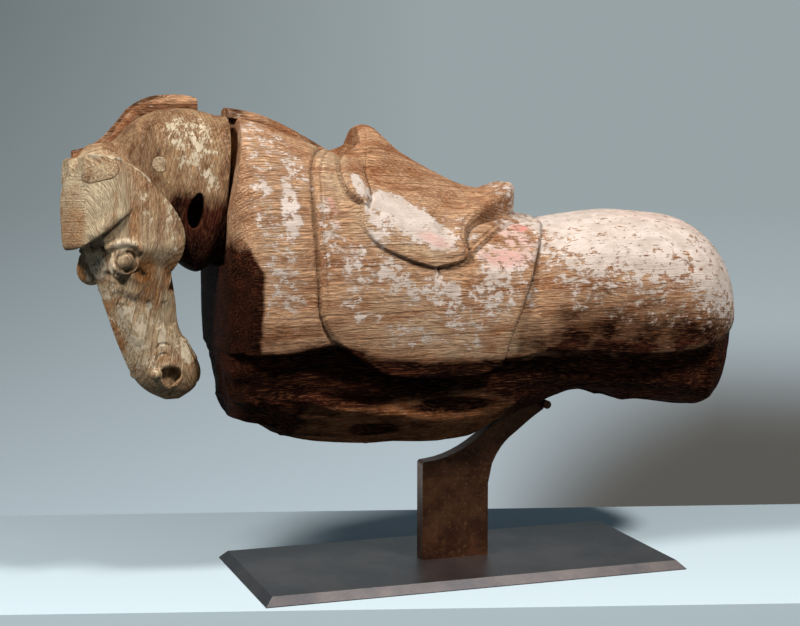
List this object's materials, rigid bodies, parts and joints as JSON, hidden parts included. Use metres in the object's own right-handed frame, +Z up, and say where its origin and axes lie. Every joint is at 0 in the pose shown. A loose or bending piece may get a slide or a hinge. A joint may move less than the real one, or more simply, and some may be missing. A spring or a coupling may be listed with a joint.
{
  "type": "carved wooden horse statuette on display mount",
  "caption": "Carved wooden horse without legs, its head and neck block pegged to a saddled torso log, held by a steel post and arm on a bevelled plate.",
  "frame": {"origin": "middle of the base plate's underside", "axes": "+X from chest to rump along the torso log, +Y toward the horse's right flank, +Z up"},
  "size_m": [0.8168, 0.232, 0.5573],
  "materials": {
    "torso_wood": "old hewn wood with traces of chalky paint",
    "head_wood": "old carved wood with traces of pale paint",
    "tenon_wood": "reddish wood, bare",
    "plug_wood": "wood end grain with red paint",
    "strip_wood": "old wood, worn",
    "mount_steel": "steel with a mottled bronze-brown patina",
    "plate_steel": "steel with a satin grey-brown patina",
    "fastener_steel": "plain turned steel",
    "pad_felt": "dark felt"
  },
  "bodies": {
    "root": {"torso_log": "torso_wood", "head_neck": "head_wood", "neck_tenon": "tenon_wood", "neck_plug": "plug_wood", "ear_tenon_left": "strip_wood", "ear_tenon_right": "strip_wood", "mane_crest": "strip_wood", "withers_strip": "strip_wood", "base_plate": "plate_steel", "post_arm": "mount_steel", "cradle_crossbar": "mount_steel", "cradle_pad": "pad_felt", "support_pins": "fastener_steel", "base_screws": "fastener_steel"}
  },
  "joints": []
}
